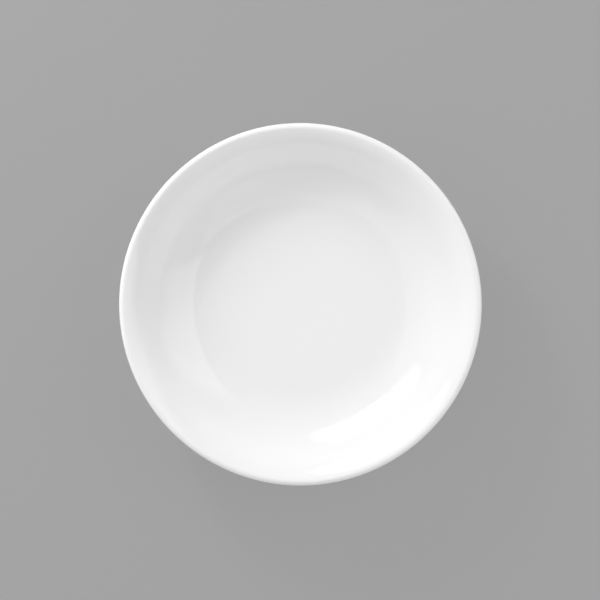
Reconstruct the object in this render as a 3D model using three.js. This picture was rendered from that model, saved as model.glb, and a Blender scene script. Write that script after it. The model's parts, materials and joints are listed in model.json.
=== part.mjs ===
// Round deep plate of white glazed porcelain, turned about one axis.
// Millimetres, +Z up. The origin is the centre of the foot ring, on the table.
//
// A plate like this is fired twice. The first firing gives the porcelain body, with its foot ring.
// The second melts the glaze onto it. The foot ring is wiped before that firing, so that the plate
// doesn't stick to the kiln shelf, and its bare edge parts the glaze into two skins: one over the
// back, the lip and the face, and one in the hollow inside the foot ring.
//
// All three pieces come from one half section of the finished plate. The skins of glaze end on that
// line, and the body is the same line set in by the glaze.

import * as THREE from 'three';

// Face of the plate
const RIM_DIAMETER = 230;
const WELL_DEPTH = 34.8; // from the floor of the well up to the top of the lip
const FLOOR_DIAMETER = 110.4; // flat bottom of the well
const FLOOR_SWEEP = 33.4; // length of the wall curve's handle along the floor
const RIM_SWEEP = 16.2; // length of the wall curve's handle along the flared rim
const RIM_ANGLE = 28; // degrees, slope of the flared rim where the lip begins

// Thickness, over the glaze
const LIP_THICKNESS = 5.2;
const WALL_THICKNESS = 4.5; // halfway up the wall
const HEEL_THICKNESS = 5.4; // where the wall leaves the foot
const FLOOR_THICKNESS = 5.2; // at the centre

// Foot ring and the hollow inside it
const FOOT_DIAMETER = 124; // over the outside of the ring, at the table
const FOOT_WIDTH = 6.4; // of the ring, at the table, before its edges are rounded
const FOOT_DRAFT = 14; // degrees, lean of the ring's two sides
const FOOT_FILLET = 2.2; // how far the ring's sides run out into the wall and the base
const FOOT_EDGE = 1.2; // how far the rounding of the bare edge reaches in
const BARE_HEIGHT = 1.2; // the glaze is wiped off up to this height above the table
const RECESS_DEPTH = 3.6; // of the hollow, at its centre
const RECESS_CROWN = 0.6; // how much shallower the hollow is beside the ring

// Glaze
const GLAZE_THICKNESS = 0.3;
const BOND_GAP = 0.02; // left between glaze and body, so that the two solids never cross

// Fineness of the turned surfaces
const TURN_STEPS = 60;
const FACE_STEPS = 11;
const BACK_STEPS = 8;
const LIP_STEPS = 8;
const FILLET_STEPS = 3;
const CROWN_STEPS = 3;

const floorHeight = RECESS_DEPTH + FLOOR_THICKNESS;
const rimAngle = THREE.MathUtils.degToRad(RIM_ANGLE);
const footDraft = THREE.MathUtils.degToRad(FOOT_DRAFT);

// In the half section, x is the distance from the axis and y is the height above the table.
const at = (radius, height) => new THREE.Vector2(radius, height);
const polar = (centre, radius, angle) =>
  at(centre.x + radius * Math.cos(angle), centre.y + radius * Math.sin(angle));

// The lip is a half round that closes the wall.
const lipRadius = LIP_THICKNESS / 2;
const lipCentre = at(RIM_DIAMETER / 2 - lipRadius, floorHeight + WELL_DEPTH - lipRadius);
const lipOnFace = polar(lipCentre, lipRadius, rimAngle + Math.PI / 2);

// The wall's face is one S-curve: it leaves the floor level and reaches the lip at the rim's slope.
const floorEdge = at(FLOOR_DIAMETER / 2, floorHeight);
const wallFace = new THREE.CubicBezierCurve(
  floorEdge,
  at(floorEdge.x + FLOOR_SWEEP, floorHeight),
  polar(lipOnFace, -RIM_SWEEP, rimAngle),
  lipOnFace,
);

// Wall thickness along that curve, from the heel at 0 to the lip at 1.
function wallThickness(place) {
  const waist = 2 * WALL_THICKNESS - (HEEL_THICKNESS + LIP_THICKNESS) / 2;
  const fromHeel = HEEL_THICKNESS * (1 - place) ** 2;
  const fromLip = LIP_THICKNESS * place ** 2;
  return fromHeel + 2 * waist * place * (1 - place) + fromLip;
}

// The wall's back lies square to its face, one thickness away.
function wallBack(place) {
  const face = wallFace.getPoint(place);
  const along = wallFace.getTangent(place);
  const thickness = wallThickness(place);
  return at(face.x + along.y * thickness, face.y - along.x * thickness);
}

// Place along the wall at which its back reaches a radius. Inside the heel it stays at 0.
function placeOnBack(radius) {
  const halvings = 40;
  let low = 0;
  let high = 1;
  for (let halving = 0; halving < halvings; halving += 1) {
    const middle = (low + high) / 2;
    if (wallBack(middle).x < radius) low = middle;
    else high = middle;
  }
  return low;
}

// Outer and inner side of the foot ring, at a height above the table.
const footOutside = (height) => at(FOOT_DIAMETER / 2 + height * Math.tan(footDraft), height);
const footInside = (height) =>
  at(FOOT_DIAMETER / 2 - FOOT_WIDTH - height * Math.tan(footDraft), height);

const roundedCorner = (from, corner, to) =>
  new THREE.QuadraticBezierCurve(from, corner, to).getPoints(FILLET_STEPS);

// Finished line in the hollow under the floor, from its centre to the wiped foot.
function hollowLine() {
  const corner = footInside(RECESS_DEPTH - RECESS_CROWN);
  const crownRadius = corner.x - FOOT_FILLET;
  const line = [];
  for (let step = 0; step < CROWN_STEPS; step += 1) {
    const share = step / CROWN_STEPS;
    line.push(at(crownRadius * share, RECESS_DEPTH - RECESS_CROWN * share ** 2));
  }
  line.push(...roundedCorner(at(crownRadius, corner.y), corner, footInside(BARE_HEIGHT)));
  return line;
}

// Finished line from the wiped foot over the back, the lip and the face to the centre of the floor.
function faceLine() {
  const corner = footOutside(wallBack(placeOnBack(FOOT_DIAMETER / 2)).y);
  const heelRadius = corner.x + FOOT_FILLET;
  const heel = placeOnBack(heelRadius);
  const line = roundedCorner(footOutside(BARE_HEIGHT), corner, at(heelRadius, wallBack(heel).y));
  for (let step = 1; step < BACK_STEPS; step += 1) {
    line.push(wallBack(THREE.MathUtils.lerp(heel, 1, step / BACK_STEPS)));
  }
  for (let step = 0; step <= LIP_STEPS; step += 1) {
    line.push(polar(lipCentre, lipRadius, rimAngle + Math.PI * (step / LIP_STEPS - 0.5)));
  }
  for (let step = 1; step <= FACE_STEPS; step += 1) {
    line.push(wallFace.getPoint(1 - step / FACE_STEPS));
  }
  line.push(at(0, floorHeight));
  return line;
}

// The same line set into the plate, which lies to its left. A point on the axis stays on it.
function setIn(line, depth) {
  return line.map((point, index) => {
    const before = line[Math.max(index - 1, 0)];
    const after = line[Math.min(index + 1, line.length - 1)];
    const arriving = point.clone().sub(before).normalize();
    const leaving = after.clone().sub(point).normalize();
    const along = arriving.clone().add(leaving).normalize();
    const lean = Math.max(along.dot(arriving), along.dot(leaving));
    const shift = depth / lean;
    return at(point.x === 0 ? 0 : point.x - along.y * shift, point.y + along.x * shift);
  });
}

const hollow = hollowLine();
const face = faceLine();

// The biscuit body under the glaze, with the bare edge that the plate stands on.
function bodySection() {
  const underGlaze = GLAZE_THICKNESS + BOND_GAP;
  const inner = setIn(hollow, underGlaze);
  const outer = setIn(face, underGlaze);
  const side = underGlaze / Math.cos(footDraft);
  const innerCorner = at(footInside(0).x + side, 0);
  const outerCorner = at(footOutside(0).x - side, 0);
  const innerEdge = roundedCorner(inner.pop(), innerCorner, at(innerCorner.x + FOOT_EDGE, 0));
  const outerEdge = roundedCorner(at(outerCorner.x - FOOT_EDGE, 0), outerCorner, outer.shift());
  return [...inner, ...innerEdge, ...outerEdge, ...outer];
}

// A skin of glaze: out along its underside and back along the finished line.
const faceSkin = () => [...setIn(face, GLAZE_THICKNESS).reverse(), ...face];
const hollowSkin = () => [...hollow, ...setIn(hollow, GLAZE_THICKNESS).reverse()];

// Turns a half section about the plate's axis.
function turned(name, section, material) {
  const geometry = new THREE.LatheGeometry(section, TURN_STEPS);
  geometry.rotateX(Math.PI / 2);
  const mesh = new THREE.Mesh(geometry, material);
  mesh.name = name;
  return mesh;
}

const biscuit = new THREE.MeshStandardMaterial({ color: 0xe6e1d6, roughness: 0.75, metalness: 0 });
const glaze = new THREE.MeshStandardMaterial({ color: 0xeeeeed, roughness: 0.08, metalness: 0 });

const plate = new THREE.Group();
plate.add(turned('porcelain_body', bodySection(), biscuit));
plate.add(turned('face_glaze', faceSkin(), glaze));
plate.add(turned('base_glaze', hollowSkin(), glaze));

export default plate;
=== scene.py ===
# %% [markdown]
# # A deep plate in white porcelain
# The plate is a fired body of porcelain under two skins of glaze. Its solids already exist, at
# their real size, with coarse facets. This lesson turns them again with a fine section, gives each
# its finish and lights them as a small studio would. All lengths are in metres, with +Z up and the
# plate's foot on the ground.

# %% Load the frame
import json
import math

import bmesh
import bpy
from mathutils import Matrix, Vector

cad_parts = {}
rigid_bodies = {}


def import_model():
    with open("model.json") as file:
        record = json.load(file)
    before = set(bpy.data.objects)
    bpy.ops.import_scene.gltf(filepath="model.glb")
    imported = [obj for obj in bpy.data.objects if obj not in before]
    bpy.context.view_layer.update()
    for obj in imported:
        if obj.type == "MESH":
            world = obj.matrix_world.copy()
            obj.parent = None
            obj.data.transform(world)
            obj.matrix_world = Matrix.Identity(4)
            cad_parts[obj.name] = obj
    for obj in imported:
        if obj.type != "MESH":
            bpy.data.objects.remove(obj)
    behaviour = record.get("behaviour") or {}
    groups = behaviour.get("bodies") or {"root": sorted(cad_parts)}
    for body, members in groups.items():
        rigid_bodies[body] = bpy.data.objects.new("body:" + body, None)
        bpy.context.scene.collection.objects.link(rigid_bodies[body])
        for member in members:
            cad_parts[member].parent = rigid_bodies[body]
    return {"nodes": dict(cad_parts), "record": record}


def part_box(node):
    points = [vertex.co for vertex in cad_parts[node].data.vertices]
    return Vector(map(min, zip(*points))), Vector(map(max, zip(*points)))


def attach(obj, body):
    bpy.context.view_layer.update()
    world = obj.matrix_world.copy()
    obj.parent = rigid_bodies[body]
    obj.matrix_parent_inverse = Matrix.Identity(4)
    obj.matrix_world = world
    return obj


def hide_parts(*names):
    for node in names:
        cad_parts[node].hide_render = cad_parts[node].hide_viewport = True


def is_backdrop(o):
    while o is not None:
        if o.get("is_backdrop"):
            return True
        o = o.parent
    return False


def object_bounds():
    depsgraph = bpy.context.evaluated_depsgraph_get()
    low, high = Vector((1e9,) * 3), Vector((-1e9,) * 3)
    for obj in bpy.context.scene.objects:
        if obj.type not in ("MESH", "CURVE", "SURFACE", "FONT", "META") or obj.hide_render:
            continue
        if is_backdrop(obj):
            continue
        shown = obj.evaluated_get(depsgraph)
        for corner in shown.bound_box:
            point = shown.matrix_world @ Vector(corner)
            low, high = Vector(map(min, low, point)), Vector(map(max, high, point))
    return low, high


MM = 0.001
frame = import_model()
cad_low, cad_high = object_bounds()


def in_mm(lengths):
    """Lengths in millimetres, rounded for printing."""
    return [round(length / MM, 2) for length in lengths]


print("solids:", sorted(frame["nodes"]))
print("their box in mm:", in_mm(cad_high - cad_low))

# %% [markdown]
# ## Heights and widths of the plate
# A plate is thrown or pressed to a gauge, and a few sizes settle its whole section. The heights of
# the rim, the floor, the hollow under it and the wiped foot are read from the frame, so that the
# fine plate stays on the solids. The others are written here once, as the maker would write them.

# %% Sizes of the section
GLAZE_THICKNESS = 0.3 * MM
BOND_GAP = 0.02 * MM
RIM_RADIUS = 115 * MM
RIM_ANGLE = math.radians(28)
LIP_RADIUS = 2.6 * MM
FLOOR_RADIUS = 55.2 * MM

mount_places = {mount["name"]: mount["pos_m"] for mount in frame["record"]["mounts"]}
face_low, face_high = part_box("face_glaze")
_, base_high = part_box("base_glaze")
rim_height = face_high.z
floor_height = mount_places["well_floor"][2]
recess_height = base_high.z - GLAZE_THICKNESS
wiped_height = face_low.z
heights = (rim_height, floor_height, recess_height, wiped_height)
print("heights of rim, floor, recess and wipe in mm:", in_mm(heights))

# %% [markdown]
# ## The curve of the wall
# The wall of a deep plate is one S-curve: it leaves the floor level, is steepest halfway up and
# flares out to a rolled lip. It could be a spline through many points. A single Bezier curve with
# two handles has the same shape and only two lengths to set, and it has no bumps that a glossy
# surface would show. A point on it is found by going the same share of the way between neighbours,
# again and again, until two points are left. Those two also give the curve's direction.

# %% Points and curves of the half section
def at(radius, height):
    return Vector((radius, height))


def polar(centre, radius, angle):
    return centre + radius * at(math.cos(angle), math.sin(angle))


def shares(steps):
    """Even shares of the way, from 0 to 1."""
    return [step / steps for step in range(steps + 1)]


def curve(handles, share):
    """Point and direction on a Bezier curve, a share of the way along."""
    points = list(handles)
    while len(points) > 2:
        points = [start.lerp(end, share) for start, end in zip(points, points[1:])]
    start, end = points
    return start.lerp(end, share), (end - start).normalized()


print("four even steps:", shares(4))

# %% Curve of the wall's face
FLOOR_SWEEP = 33.4 * MM
RIM_SWEEP = 16.2 * MM
SLOPE_SAMPLES = 50

lip_centre = at(RIM_RADIUS - LIP_RADIUS, rim_height - LIP_RADIUS)
lip_on_face = polar(lip_centre, LIP_RADIUS, RIM_ANGLE + math.pi / 2)
wall_handles = (
    at(FLOOR_RADIUS, floor_height),
    at(FLOOR_RADIUS + FLOOR_SWEEP, floor_height),
    polar(lip_on_face, -RIM_SWEEP, RIM_ANGLE),
    lip_on_face,
)
directions = [curve(wall_handles, share)[1] for share in shares(SLOPE_SAMPLES)]
steepest = max(math.degrees(math.atan2(along.y, along.x)) for along in directions)
print("steepest slope of the wall in degrees:", round(steepest, 1))

# %% [markdown]
# ## The back of the wall
# Porcelain keeps nearly one thickness, a little more at the heel and at the lip. So the back isn't
# drawn as a second curve: each point of it lies square to the face, one thickness away.

# %% Thickness and back
HEEL_THICKNESS = 5.4 * MM
WALL_THICKNESS = 4.5 * MM
HALVINGS = 40


def wall_thickness(share):
    lip_thickness = 2 * LIP_RADIUS
    waist = 2 * WALL_THICKNESS - (HEEL_THICKNESS + lip_thickness) / 2
    from_heel = HEEL_THICKNESS * (1 - share) ** 2
    from_lip = lip_thickness * share ** 2
    return from_heel + 2 * waist * share * (1 - share) + from_lip


def wall_back(share):
    face, along = curve(wall_handles, share)
    return face + wall_thickness(share) * at(along.y, -along.x)


def share_on_back(radius):
    """Share of the wall at which its back reaches a radius, found by halving."""
    low, high = 0.0, 1.0
    for _ in range(HALVINGS):
        middle = (low + high) / 2
        if wall_back(middle).x < radius:
            low = middle
        else:
            high = middle
    return low


print("wall in mm at heel, waist and lip:", in_mm(wall_thickness(share) for share in shares(2)))

# %% [markdown]
# ## The foot and the wiped edge
# The plate stands on a low ring. Before the glaze firing its edge is wiped with a wet sponge, or
# the plate would stick to the kiln shelf. A wiped line is never quite level, so its height here
# wavers by a fraction of a millimetre round the ring. It only ever rises, which keeps the glaze on
# the body.

# %% Sides of the foot ring
FOOT_RADIUS = 62 * MM
FOOT_WIDTH = 6.4 * MM
FOOT_DRAFT = math.radians(14)
WIPE_WAVER = 0.12 * MM
WIPE_WAVES = (2, 5, 11)


def foot_outside(height):
    return at(FOOT_RADIUS + height * math.tan(FOOT_DRAFT), height)


def foot_inside(height):
    return at(FOOT_RADIUS - FOOT_WIDTH - height * math.tan(FOOT_DRAFT), height)


def wiped_edge(turn, phase):
    """Height to which the sponge took the glaze off, at an angle round the ring."""
    waver = sum(1 + math.sin(waves * (turn + phase)) for waves in WIPE_WAVES)
    return wiped_height + WIPE_WAVER * waver


print("foot ring in mm, inside and outside:", in_mm((foot_inside(0).x, foot_outside(0).x)))

# %% [markdown]
# ## The finished line
# The glazed surface is drawn as two lines in the half section. One runs from the middle of the
# hollow under the plate to the wiped edge. The other starts on the outside of that edge and goes up
# the back, over the lip, down the wall and across the floor to the axis. The level floor gets rings
# of its own, because smooth shading needs faces of like size on both sides of an edge.

# %% Line of the hollow
FOOT_FILLET = 2.2 * MM
FILLET_STEPS = 8
RECESS_CROWN = 0.6 * MM
CROWN_STEPS = 16


def fillet(start, corner, end):
    return [curve((start, corner, end), share)[0] for share in shares(FILLET_STEPS)]


def hollow_line(wiped):
    corner = foot_inside(recess_height - RECESS_CROWN)
    crown_radius = corner.x - FOOT_FILLET
    crown = [
        at(crown_radius * share, recess_height - RECESS_CROWN * share ** 2)
        for share in shares(CROWN_STEPS)[:-1]
    ]
    return crown + fillet(at(crown_radius, corner.y), corner, foot_inside(wiped))


print("points on the line of the hollow:", len(hollow_line(wiped_height)))

# %% Line of the back, the lip and the face
BACK_STEPS = 36
LIP_STEPS = 18
WALL_STEPS = 64
FLOOR_STEPS = 18


def face_line(wiped):
    corner = foot_outside(wall_back(share_on_back(FOOT_RADIUS)).y)
    heel = share_on_back(corner.x + FOOT_FILLET)
    lip_angles = [RIM_ANGLE + math.pi * (share - 0.5) for share in shares(LIP_STEPS)]
    line = fillet(foot_outside(wiped), corner, wall_back(heel))
    line += [wall_back(heel + (1 - heel) * share) for share in shares(BACK_STEPS)[1:-1]]
    line += [polar(lip_centre, LIP_RADIUS, angle) for angle in lip_angles]
    line += [curve(wall_handles, 1 - share)[0] for share in shares(WALL_STEPS)[1:]]
    line += [at(FLOOR_RADIUS * (1 - share), floor_height) for share in shares(FLOOR_STEPS)[1:]]
    return line


print("points on the line of the face:", len(face_line(wiped_height)))

# %% [markdown]
# ## From a line to a solid
# Each piece is a closed section turned about the axis. A skin of glaze is its line, the same line
# set in by the glaze's thickness, and a round bead where the melted glaze stopped. The body is both
# lines set in once more, joined by the bare edge that stands on the table.

# %% Sections of the two skins of glaze
BEAD_STEPS = 6
FACE_WIPE_PHASE = 0.4
HOLLOW_WIPE_PHASE = 1.9


def set_in(line, depth):
    """The line moved to its left, into the plate. A point on the axis stays there."""
    moved = []
    for index, point in enumerate(line):
        arriving = (point - line[max(index - 1, 0)]).normalized()
        leaving = (line[min(index + 1, len(line) - 1)] - point).normalized()
        along = (arriving + leaving).normalized()
        shift = depth / max(along.dot(arriving), along.dot(leaving))
        on_axis = point.x < BOND_GAP
        moved.append(at(0 if on_axis else point.x - along.y * shift, point.y + along.x * shift))
    return moved


def bead(start, end, outward):
    """Half round from one side of the glaze's edge to the other."""
    middle = (start + end) / 2
    half = start - middle
    reach = outward * half.length
    angles = [math.pi * share for share in shares(BEAD_STEPS)[1:-1]]
    return [middle + half * math.cos(angle) + reach * math.sin(angle) for angle in angles]


def face_section(turn):
    line = face_line(wiped_edge(turn, FACE_WIPE_PHASE))
    under = set_in(line, GLAZE_THICKNESS)
    return under[::-1] + bead(under[0], line[0], (line[0] - line[1]).normalized()) + line


def hollow_section(turn):
    line = hollow_line(wiped_edge(turn, HOLLOW_WIPE_PHASE))
    under = set_in(line, GLAZE_THICKNESS)
    return line + bead(line[-1], under[-1], (line[-1] - line[-2]).normalized()) + under[::-1]


print("points round the skins:", len(face_section(0)), len(hollow_section(0)))

# %% Section of the body
FOOT_EDGE = 1.2 * MM


def body_section(_turn):
    """The body is the same all round, because its glaze is wiped and not its porcelain."""
    under_glaze = GLAZE_THICKNESS + BOND_GAP
    inner = set_in(hollow_line(wiped_height), under_glaze)
    outer = set_in(face_line(wiped_height), under_glaze)
    inner_corner = at(foot_inside(0).x + under_glaze, 0)
    outer_corner = at(foot_outside(0).x - under_glaze, 0)
    edge = at(FOOT_EDGE, 0)
    inner_edge = fillet(inner.pop(), inner_corner, inner_corner + edge)
    outer_edge = fillet(outer_corner - edge, outer_corner, outer.pop(0))
    return inner + inner_edge + outer_edge + outer


print("points round the body:", len(body_section(0)))

# %% [markdown]
# ## Turning the sections
# A Screw modifier could turn a section, but it can't follow the wavering wiped edge, so the rings
# are made in mesh code. They share one point at each end, on the axis. The rest are quads, which
# shade smoothly. The new piece rides on the same body as the solid that it stands for, and hides it.

# %% Turned pieces
TURN_STEPS = 192


def turned_mesh(name, section_at):
    mesh = bpy.data.meshes.new(name)
    shape = bmesh.new()
    first_point, *_, last_point = section_at(0)
    first = shape.verts.new((0, 0, first_point.y))
    last = shape.verts.new((0, 0, last_point.y))
    rings = []
    for turn in [2 * math.pi * share for share in shares(TURN_STEPS)[:-1]]:
        points = section_at(turn)[1:-1]
        places = [(point.x * math.cos(turn), point.x * math.sin(turn), point.y) for point in points]
        rings.append([shape.verts.new(place) for place in places])
    for ring, following in zip(rings, rings[1:] + rings[:1]):
        shape.faces.new((first, following[0], ring[0]))
        shape.faces.new((last, ring[-1], following[-1]))
        for low in range(len(ring) - 1):
            shape.faces.new((ring[low], following[low], following[low + 1], ring[low + 1]))
    bmesh.ops.recalc_face_normals(shape, faces=shape.faces)
    shape.to_mesh(mesh)
    shape.free()
    mesh.shade_smooth()
    return mesh


def turned(name, section_at, node):
    piece = bpy.data.objects.new(name, turned_mesh(name, section_at))
    bpy.context.collection.objects.link(piece)
    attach(piece, "root")
    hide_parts(node)
    print(name, "has", len(piece.data.polygons), "faces")
    return piece


body = turned("turned_body", body_section, "porcelain_body")
face = turned("glazed_face", face_section, "face_glaze")
hollow = turned("glazed_hollow", hollow_section, "base_glaze")

# %% [markdown]
# ## Shader maths as Python
# Blender's materials are graphs of nodes. Wiring every sum by hand hides what it means, so a small
# class wraps a socket: adding or multiplying two of them adds a Math node. Every other kind of node
# comes from one method, which sets the node up first and then fills its sockets.

# %% A socket that can be used in sums
class Wire:
    """One output of a node tree."""

    def __init__(self, socket):
        self.socket = socket

    @classmethod
    def node(cls, tree, kind, settings=None, values=None, output=0):
        made = tree.nodes.new(kind)
        for name, setting in (settings or {}).items():
            setattr(made, name, setting)
        for name, value in (values or {}).items():
            if isinstance(value, Wire):
                tree.links.new(value.socket, made.inputs[name])
            else:
                made.inputs[name].default_value = value
        return cls(made.outputs[output])

    def maths(self, operation, other=0, reflected=False):
        """A Math node on this wire and another value, which comes first if reflected."""
        first, second = (other, self) if reflected else (self, other)
        tree = self.socket.id_data
        return Wire.node(tree, "ShaderNodeMath", {"operation": operation}, {0: first, 1: second})

    def __add__(self, other):
        return self.maths("ADD", other)

    def __radd__(self, other):
        return self.maths("ADD", other, reflected=True)

    def __sub__(self, other):
        return self.maths("SUBTRACT", other)

    def __rsub__(self, other):
        return self.maths("SUBTRACT", other, reflected=True)

    def __mul__(self, other):
        return self.maths("MULTIPLY", other)

    def __rmul__(self, other):
        return self.maths("MULTIPLY", other, reflected=True)

    def __abs__(self):
        return self.maths("ABSOLUTE")


print("a wire can do:", [name for name in vars(Wire) if not name.startswith("_")])

# %% Helpers for finishes
def new_finish(name):
    material = bpy.data.materials.new(name)
    material.use_nodes = True
    tree = material.node_tree
    return material, tree, tree.nodes["Principled BSDF"]


def connect(tree, shader, **wires):
    """Links wires to a shader's sockets, whose names have spaces in place of underscores."""
    for name, wire in wires.items():
        tree.links.new(wire.socket, shader.inputs[name.replace("_", " ").title()])


def split(tree, vector):
    """The three parts of a vector."""
    x = Wire.node(tree, "ShaderNodeSeparateXYZ", {}, {"Vector": vector})
    return [Wire(socket) for socket in x.socket.node.outputs]


def off_axis(x, y):
    return (x * x + y * y).maths("SQRT")


def blend(tree, share, first, second):
    """Mixes two colours. The Mix node's colour sockets are its 7th and 8th, and its 3rd output."""
    colours = {0: share, 6: first, 7: second}
    return Wire.node(tree, "ShaderNodeMix", {"data_type": "RGBA"}, colours, output=2)


def noise(tree, place, scale, detail=2.0):
    values = {"Vector": place, "Scale": scale, "Detail": detail}
    return Wire.node(tree, "ShaderNodeTexNoise", {}, values)


def rise(tree, value, low, high):
    """Climbs smoothly from 0 at one value to 1 at another."""
    limits = {"Value": value, "From Min": low, "From Max": high}
    return Wire.node(tree, "ShaderNodeMapRange", {"interpolation_type": "SMOOTHSTEP"}, limits)


def bump(tree, height, distance):
    values = {"Strength": 1.0, "Distance": distance, "Height": height}
    return Wire.node(tree, "ShaderNodeBump", {}, values)


print("finishes can use:", [helper.__name__ for helper in (split, off_axis, blend, noise, rise, bump)])

# %% [markdown]
# ## Glaze
# Clear glaze over white porcelain looks like one glossy white skin. It isn't perfectly even: it is
# a little thicker and cooler where it ran into the corners of the foot, and its surface keeps a
# very slow waviness from the melt, which only the edges of reflections betray. A glass layer over
# the body could be traced ray by ray, but at a third of a millimetre it would only add noise. So
# the white and the gloss are one shader, with the unevenness in its colour, roughness and bump.

# %% Glaze finish
WHITE_GLAZE = (0.85, 0.85, 0.848, 1)
POOLED_GLAZE = (0.79, 0.81, 0.815, 1)
POOL_TOP = 7 * MM
POOL_REACH = 10 * MM
POOL_LEAST = 0.55
FIRING_SCALE = 9
FIRING_TINT = 0.04
GLAZE_IOR = 1.5
GLAZE_ROUGHNESS = 0.03
MELT_SCALE = 26
MELT_ROUGHNESS = 0.03
MELT_HEIGHT = 0.02 * MM


def glaze_finish():
    material, tree, shader = new_finish("clear_glaze_on_white")
    place = Wire.node(tree, "ShaderNodeTexCoord", output="Object")
    x, y, height = split(tree, place)
    from_foot = abs(off_axis(x, y) - (FOOT_RADIUS - FOOT_WIDTH / 2))
    near_foot = 1 - rise(tree, from_foot, FOOT_WIDTH / 2, POOL_REACH)
    low_down = 1 - rise(tree, height, wiped_height, POOL_TOP)
    firing = noise(tree, place, FIRING_SCALE)
    melt = noise(tree, place, MELT_SCALE)
    pooled = near_foot * low_down * (POOL_LEAST + (1 - POOL_LEAST) * firing)
    shader.inputs["IOR"].default_value = GLAZE_IOR
    connect(
        tree,
        shader,
        base_color=blend(tree, pooled + FIRING_TINT * firing, WHITE_GLAZE, POOLED_GLAZE),
        roughness=GLAZE_ROUGHNESS + MELT_ROUGHNESS * melt,
        normal=bump(tree, melt, MELT_HEIGHT),
    )
    print(material.name, "has", len(tree.nodes), "nodes")
    return material


glaze = glaze_finish()
face.data.materials.append(glaze)
hollow.data.materials.append(glaze)

# %% [markdown]
# ## Bare porcelain
# Where the foot was wiped, the fired body shows: matt, a little warm, with a grain as fine as
# flour. The edge that slides on shelves and tables is scuffed grey in short strokes along the ring.
# Strokes that follow a ring need the angle and the radius as coordinates, so the noise is read in
# those two instead of in X and Y.

# %% Bare porcelain finish
BARE_PORCELAIN = (0.79, 0.75, 0.68, 1)
GRAIN_SHADE = (0.70, 0.655, 0.585, 1)
GRAIN_SCALE = 2400
GRAIN_DETAIL = 3.0
GRAIN_HEIGHT = 0.01 * MM
BARE_ROUGHNESS = 0.7
GRAIN_ROUGHNESS = 0.15
SCUFF_GREY = (0.42, 0.41, 0.40, 1)
SCUFF_STRENGTH = 0.6
SCUFF_POLISH = 0.25
SCUFF_HEIGHT = 0.25 * MM
STROKES_ROUND = 14
STROKES_ACROSS = 1500
STROKE_DETAIL = 4.0
STROKE_BEGINS = 0.52
STROKE_FULL = 0.68


def bare_finish():
    material, tree, shader = new_finish("bare_porcelain")
    place = Wire.node(tree, "ShaderNodeTexCoord", output="Object")
    x, y, height = split(tree, place)
    along_ring = {"X": STROKES_ROUND * y.maths("ARCTAN2", x), "Y": STROKES_ACROSS * off_axis(x, y)}
    ring_place = Wire.node(tree, "ShaderNodeCombineXYZ", {}, along_ring)
    strokes = rise(tree, noise(tree, ring_place, 1, STROKE_DETAIL), STROKE_BEGINS, STROKE_FULL)
    scuffed = strokes * (1 - rise(tree, height, 0, SCUFF_HEIGHT))
    grain = noise(tree, place, GRAIN_SCALE, GRAIN_DETAIL)
    fired = blend(tree, grain, BARE_PORCELAIN, GRAIN_SHADE)
    connect(
        tree,
        shader,
        base_color=blend(tree, SCUFF_STRENGTH * scuffed, fired, SCUFF_GREY),
        roughness=BARE_ROUGHNESS - SCUFF_POLISH * scuffed + GRAIN_ROUGHNESS * grain,
        normal=bump(tree, grain, GRAIN_HEIGHT),
    )
    print(material.name, "has", len(tree.nodes), "nodes")
    return material


body.data.materials.append(bare_finish())

# %% [markdown]
# ## The ground
# The plate stands on a plain ground. What the camera and the glaze's reflections see of it is an
# even grey, while the light that bounces off it onto the plate is that of a pale table: Light Path
# tells the two kinds of ray apart. Most of the grey glows by itself, so that the lamps don't make
# it patchy. The rest is a colour that takes light, which keeps a soft shadow under the plate.
# Far from the plate the ground runs out to the tone of the room, as a studio's swept backdrop does,
# so that a low view shows no edge.

# %% Ground finish
ROOM_BRIGHTNESS = 0.415
GROUND_GREY = 0.371
GROUND_GLOW_SHARE = 0.68
GROUND_PALE = 0.8
SWEEP_START = 0.3
SWEEP_END = 0.85
SEEING_RAYS = ("Is Camera Ray", "Is Glossy Ray", "Is Transmission Ray")


def grey(tone):
    return (tone, tone, tone, 1)


def ground_finish():
    material, tree, shader = new_finish("plain_ground")
    seen = sum(Wire.node(tree, "ShaderNodeLightPath", output=ray) for ray in SEEING_RAYS)
    x, y, _ = split(tree, Wire.node(tree, "ShaderNodeTexCoord", output="Object"))
    swept = rise(tree, off_axis(x, y), SWEEP_START, SWEEP_END)
    taking_light = blend(tree, swept, grey(GROUND_GREY * (1 - GROUND_GLOW_SHARE)), grey(0))
    glowing = blend(tree, swept, grey(GROUND_GREY * GROUND_GLOW_SHARE), grey(ROOM_BRIGHTNESS))
    shader.inputs["Roughness"].default_value = 1
    shader.inputs["Specular IOR Level"].default_value = 0
    shader.inputs["Emission Strength"].default_value = 1
    connect(
        tree,
        shader,
        base_color=blend(tree, seen, grey(GROUND_PALE), taking_light),
        emission_color=blend(tree, seen, grey(0), glowing),
    )
    print(material.name, "has", len(tree.nodes), "nodes")
    return material


ground_material = ground_finish()

# %% Ground
GROUND_HALF = 60.0
CORNERS = ((-1, -1), (1, -1), (1, 1), (-1, 1))

ground_mesh = bpy.data.meshes.new("ground")
ground_places = [(x * GROUND_HALF, y * GROUND_HALF, 0) for x, y in CORNERS]
ground_mesh.from_pydata(ground_places, [], [range(len(CORNERS))])
ground_mesh.materials.append(ground_material)
ground = bpy.data.objects.new("ground", ground_mesh)
bpy.context.collection.objects.link(ground)
ground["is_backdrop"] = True
print("ground is", 2 * GROUND_HALF, "m wide")

# %% [markdown]
# ## The camera
# The picture looks straight down, so the rim is a circle in it. The camera's height sets how much
# smaller the floor of the plate looks than its rim, and the lens then follows from the size of that
# circle. The plate sits a few pixels below the middle, which is what the small shift is for.

# %% Camera
CAMERA_HEIGHT = 1.25
PICTURE_PIXELS = 600
RIM_PIXELS = 181.3
RIM_MIDDLE_PIXELS = (299.9, 303.8)

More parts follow.
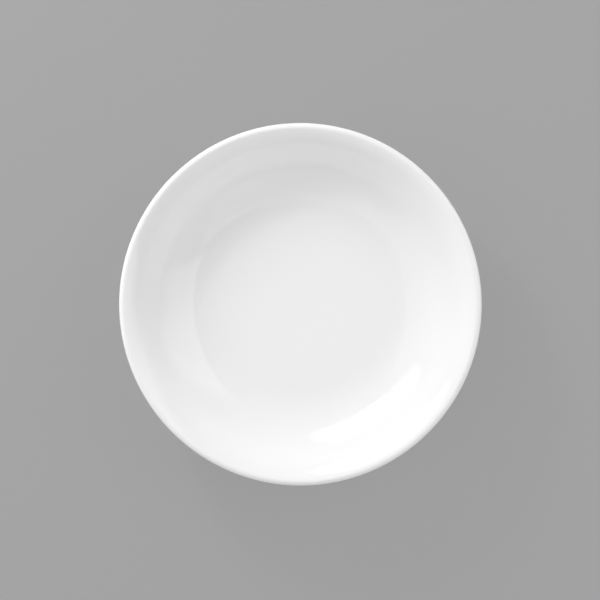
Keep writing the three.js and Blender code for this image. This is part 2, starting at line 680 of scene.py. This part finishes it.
camera_data = bpy.data.cameras.new("camera")
half_field = RIM_RADIUS / (CAMERA_HEIGHT - lip_centre.y) * (PICTURE_PIXELS / 2) / RIM_PIXELS
camera_data.lens = camera_data.sensor_width / 2 / half_field
picture_middle = (PICTURE_PIXELS - 1) / 2
camera_data.shift_x = (picture_middle - RIM_MIDDLE_PIXELS[0]) / PICTURE_PIXELS
camera_data.shift_y = (RIM_MIDDLE_PIXELS[1] - picture_middle) / PICTURE_PIXELS
camera = bpy.data.objects.new("camera", camera_data)
camera.location = (0, 0, CAMERA_HEIGHT)
bpy.context.collection.objects.link(camera)
bpy.context.scene.camera = camera
print("lens in mm:", round(camera_data.lens, 1))

# %% [markdown]
# ## The softbox
# Glossy white shows the room as much as itself. A wide softbox stands low behind the plate on the
# left. It is brightest near its top, where the bulb is. Its reflections are the two bright crescents
# on the near wall, and the far rim throws its shadow down the wall and onto the floor of the plate.
# A lamp's power is its brightness times its area, so a lamp keeps its brightness when it is made
# larger. Angles are in degrees: the azimuth turns from +X towards +Y.

# %% Lamps that face the plate
PLATE_MIDDLE = Vector((0, 0, 20 * MM))


def lamp(name, shape, azimuth, elevation, distance, width, height, brightness, aside=0.0):
    """A flat lamp that faces the plate, or stands aside from it. Brightness 1 looks white."""
    data = bpy.data.lights.new(name, "AREA")
    data.shape = shape
    data.size = width
    data.size_y = height
    fill = math.pi / 4 if shape == "ELLIPSE" else 1
    data.energy = brightness * math.pi * width * height * fill
    turn, climb = math.radians(azimuth), math.radians(elevation)
    level = math.cos(climb)
    towards = Vector((level * math.cos(turn), level * math.sin(turn), math.sin(climb)))
    across = Vector((-math.sin(turn), math.cos(turn), 0))
    made = bpy.data.objects.new(name, data)
    made.location = PLATE_MIDDLE + distance * towards + aside * across
    made.rotation_euler = towards.to_track_quat("Z", "Y").to_euler()
    made.visible_camera = False
    bpy.context.collection.objects.link(made)
    print(name, "has", round(data.energy, 2), "W")
    return data


print("lamps face the point, in mm,", in_mm(PLATE_MIDDLE))

# %% Softbox
CLOTH_DISTANCE = 1.0
BULB_DISTANCE = 0.99

lamp(
    "softbox", "ELLIPSE", azimuth=123, elevation=19.3, distance=CLOTH_DISTANCE,
    width=1.06, height=0.64, brightness=1.6,
)
lamp(
    "softbox_bulb", "ELLIPSE", azimuth=126, elevation=31, distance=BULB_DISTANCE,
    width=0.16, height=0.16, brightness=30,
)
lamp(
    "softbox_glow", "ELLIPSE", azimuth=126, elevation=23, distance=BULB_DISTANCE,
    width=0.3, height=0.3, brightness=8.2,
)

# %% [markdown]
# ## White panels
# White panels on three sides fill the shadow of the rim. The front one catches more light along its
# top edge, which draws a fine line round the floor. Sharp panels would show every edge in the glaze,
# so their light fades out towards most of them. Smaller lamps could be stacked to fade in steps. A
# lamp's own nodes do it smoothly, from where a point lies on its face.

# %% Lamps that fade towards their edges
SHARP = 0.001


def fade(data, start=SHARP, end=SHARP, bottom=SHARP, top=SHARP):
    """Lets a lamp fade out over a share of its width at either end, and of its height."""
    data.use_nodes = True
    tree = data.node_tree
    along, up, _ = split(tree, Wire.node(tree, "ShaderNodeNewGeometry", output="Parametric"))
    level = rise(tree, along, 0, start) * rise(tree, 1 - along, 0, end)
    upright = rise(tree, up, 0, bottom) * rise(tree, 1 - up, 0, top)
    glow = level * upright
    tree.links.new(glow.socket, tree.nodes["Emission"].inputs["Strength"])
    print(data.name, "fades with", len(tree.nodes), "nodes")


print("an edge that stays sharp fades over a share of", SHARP)

# %% Panels
PANEL_DISTANCE = 0.8
EDGE_DISTANCE = 0.9

right_panel = lamp(
    "right_panel", "RECTANGLE", azimuth=0, elevation=33.5, distance=PANEL_DISTANCE,
    width=0.96, height=0.96, brightness=1.3, aside=0.268,
)
right_low_panel = lamp(
    "right_low_panel", "RECTANGLE", azimuth=18, elevation=12, distance=PANEL_DISTANCE,
    width=0.6, height=0.35, brightness=0.9,
)
left_panel = lamp(
    "left_panel", "RECTANGLE", azimuth=188, elevation=33.5, distance=PANEL_DISTANCE,
    width=1.5, height=1.06, brightness=0.66, aside=0.075,
)
front_panel = lamp(
    "front_panel", "RECTANGLE", azimuth=-90, elevation=39, distance=PANEL_DISTANCE,
    width=1.2, height=0.92, brightness=0.32,
)
front_edge = lamp(
    "front_edge", "RECTANGLE", azimuth=-90, elevation=62.2, distance=EDGE_DISTANCE,
    width=1.05, height=0.2, brightness=0.45, aside=0.095,
)
fade(right_panel, end=0.35, bottom=0.45)
fade(right_low_panel, start=0.4, end=0.4, bottom=0.3, top=0.6)
fade(left_panel, start=0.3, end=0.35, bottom=0.1)
fade(front_panel, start=0.3, bottom=0.3)
fade(front_edge, start=0.3, bottom=0.9)

# %% [markdown]
# ## The room
# Beyond the lamps the room is an even soft white. Standard is the plainest view transform: it shows
# a colour as it is written.

# %% World
world = bpy.data.worlds.new("soft_room")
world.use_nodes = True
room = world.node_tree.nodes["Background"]
room.inputs["Color"].default_value = grey(1)
room.inputs["Strength"].default_value = ROOM_BRIGHTNESS
bpy.context.scene.world = world
bpy.context.scene.view_settings.view_transform = "Standard"
print("room's brightness:", ROOM_BRIGHTNESS)

# %% [markdown]
# ## Sizes and the end
# The fine plate has to fill the same box as the solids. Both boxes are written down to be compared.

# %% Print the box of the fine plate and finish
seen_low, seen_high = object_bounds()
print("box of the fine plate in mm:", in_mm(seen_high - seen_low))
